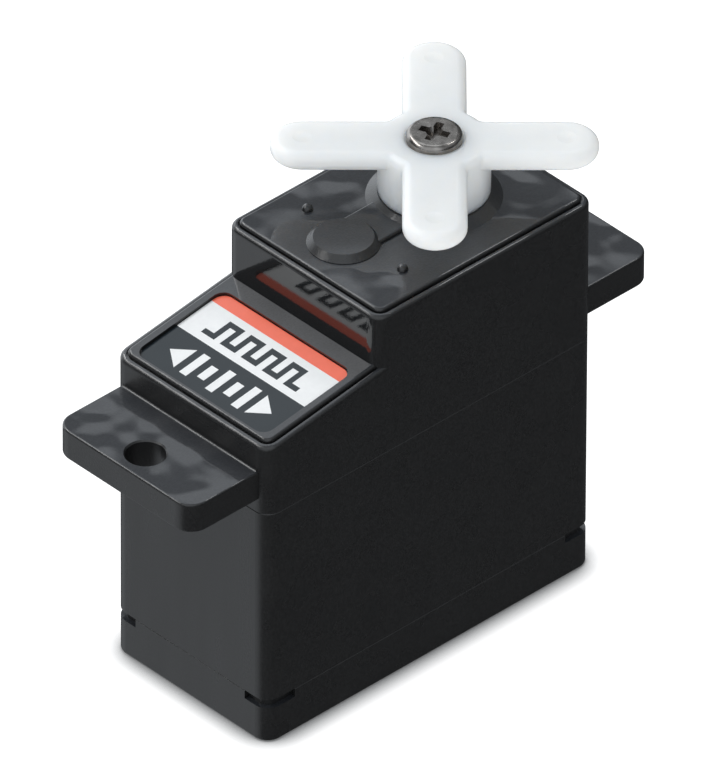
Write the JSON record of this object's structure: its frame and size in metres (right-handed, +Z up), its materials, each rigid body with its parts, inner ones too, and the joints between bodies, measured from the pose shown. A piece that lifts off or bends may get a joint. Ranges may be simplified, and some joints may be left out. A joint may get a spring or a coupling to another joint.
{
  "type": "servo motor",
  "caption": "Small servo motor: a geared motor in a black box case with mounting ears, a sloped label ledge and a white cross horn on its output.",
  "frame": {"origin": "centre of the case's bottom face", "axes": "+Z up, along the output shaft and out of the horn; +X along the case's long side towards the output end; -X is the label ledge's end; +Y across the case"},
  "size_m": [0.0322, 0.0132, 0.0271],
  "materials": {
    "case_plastic": "black, satin to glossy, fine grain",
    "label": "printed sticker, red, white and dark bands",
    "horn_nylon": "white moulded nylon",
    "dark_screw": "black-oxide steel",
    "steel": "bright zinc-plated steel",
    "motor_steel": "drawn and laminated steel",
    "brass": "machined brass",
    "copper": "enamelled copper",
    "ferrite": "sintered ferrite",
    "gear_nylon": "natural white nylon",
    "inner_plastic": "moulded plastic",
    "pot_resin": "brown phenolic",
    "board_green": "green solder mask",
    "chip_black": "black moulded epoxy",
    "lead_red": "red wire insulation",
    "rubber": "black moulded rubber"
  },
  "bodies": {
    "case": {"top_case": "case_plastic", "middle_case": "case_plastic", "bottom_cover": "case_plastic", "case_screws": "steel", "label_plate": "label", "cable_gland": "rubber", "motor_can": "motor_steel", "motor_bearing": "brass", "motor_end_bell": "inner_plastic", "motor_brush_terminals": "brass", "motor_magnets": "ferrite", "gear_pin": "steel", "output_bushing": "brass", "pot_housing": "inner_plastic", "pot_track": "pot_resin", "pot_terminals": "brass", "circuit_board": "board_green", "control_chip": "chip_black", "board_parts": "chip_black", "motor_leads": "lead_red"},
    "output": {"output_gear": "gear_nylon", "pot_shaft": "brass", "pot_wiper": "brass", "horn": "horn_nylon", "horn_screw": "dark_screw"},
    "third_stage": {"third_gear": "gear_nylon"},
    "second_stage": {"second_gear": "gear_nylon"},
    "first_stage": {"first_gear": "gear_nylon"},
    "rotor": {"motor_shaft": "steel", "armature_core": "motor_steel", "armature_windings": "copper", "commutator_sleeve": "inner_plastic", "commutator_segments": "copper", "motor_pinion": "brass"}
  },
  "joints": [
    {"name": "output_turn", "type": "hinge", "parent": "case", "child": "output", "pos_m": [0.0055, 0, 0], "axis": [0, 0, 1], "range_deg": [-90, 90]},
    {"name": "third_gear_spin", "type": "hinge", "parent": "case", "child": "third_stage", "pos_m": [-0.0008, 0, 0], "axis": [0, 0, 1], "range_deg": [-225.1, 225.1]},
    {"name": "second_gear_spin", "type": "hinge", "parent": "case", "child": "second_stage", "pos_m": [0.0055, 0, 0], "axis": [0, 0, 1], "range_deg": [-661.14, 661.14]},
    {"name": "first_gear_spin", "type": "hinge", "parent": "case", "child": "first_stage", "pos_m": [-0.0008, 0, 0], "axis": [0, 0, 1], "range_deg": [-1942, 1942]},
    {"name": "rotor_spin", "type": "hinge", "parent": "case", "child": "rotor", "pos_m": [-0.0056, 0, 0], "axis": [0, 0, 1], "range_deg": [-7378.71, 7378.71]}
  ],
  "couplings": [
    {"joint": "third_gear_spin", "follows": "output_turn", "ratio": -2.5},
    {"joint": "second_gear_spin", "follows": "output_turn", "ratio": 7.3438},
    {"joint": "first_gear_spin", "follows": "output_turn", "ratio": -21.572},
    {"joint": "rotor_spin", "follows": "output_turn", "ratio": 81.975}
  ]
}
